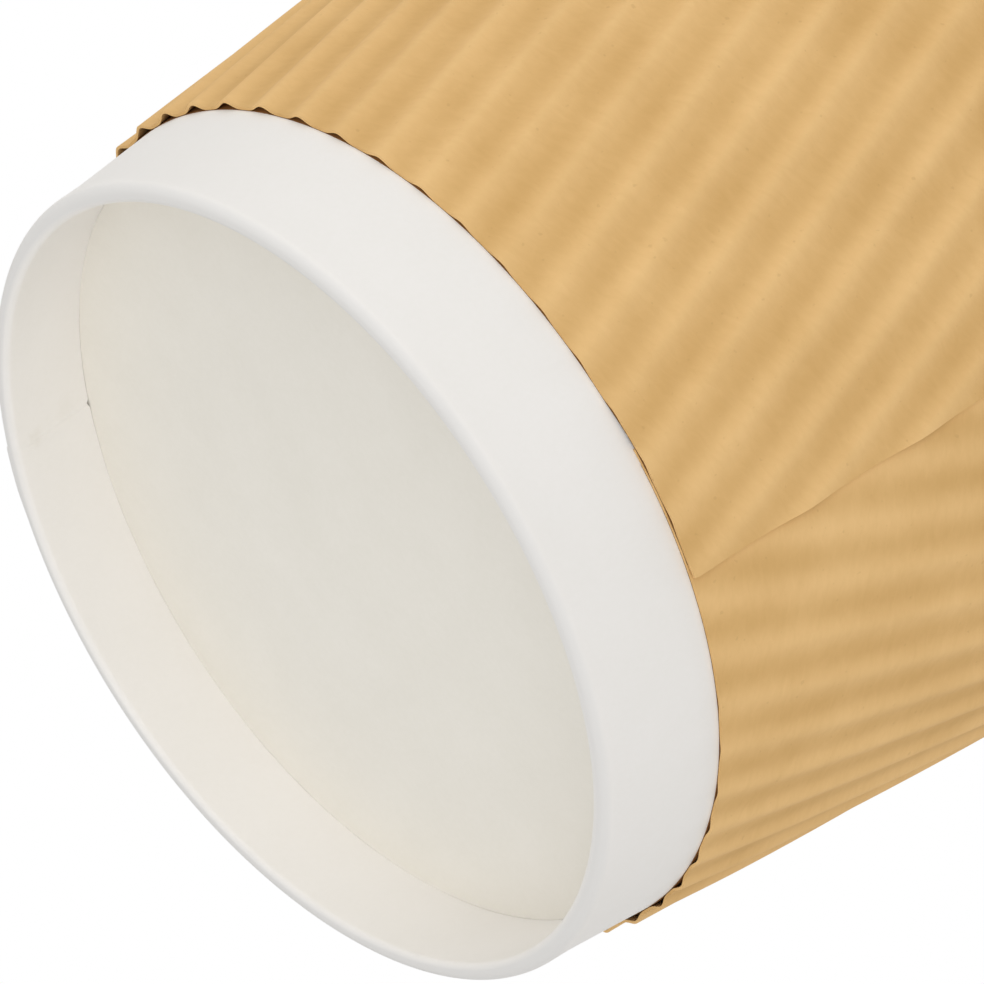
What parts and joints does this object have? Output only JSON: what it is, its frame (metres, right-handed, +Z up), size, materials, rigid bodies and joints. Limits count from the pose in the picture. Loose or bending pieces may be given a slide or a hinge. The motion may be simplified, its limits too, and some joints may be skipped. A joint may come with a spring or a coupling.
{
  "type": "paper coffee cup",
  "caption": "Tapered single-use paper cup with a rolled rim, a recessed base and a wrapped sleeve of fluted brown paper.",
  "frame": {"origin": "centre of the ring that the cup stands on, at the surface", "axes": "+Z up along the cup's axis, towards the mouth; -Y towards the side that the picture shows"},
  "size_m": [0.0903, 0.0904, 0.111],
  "materials": {
    "white_cup_paper": "satin coated",
    "cream_base_paper": "satin coated",
    "kraft_paper": "matte"
  },
  "bodies": {
    "root": {"cup_wall": "white_cup_paper", "base_disc": "cream_base_paper", "ripple_sleeve": "kraft_paper"}
  },
  "joints": []
}
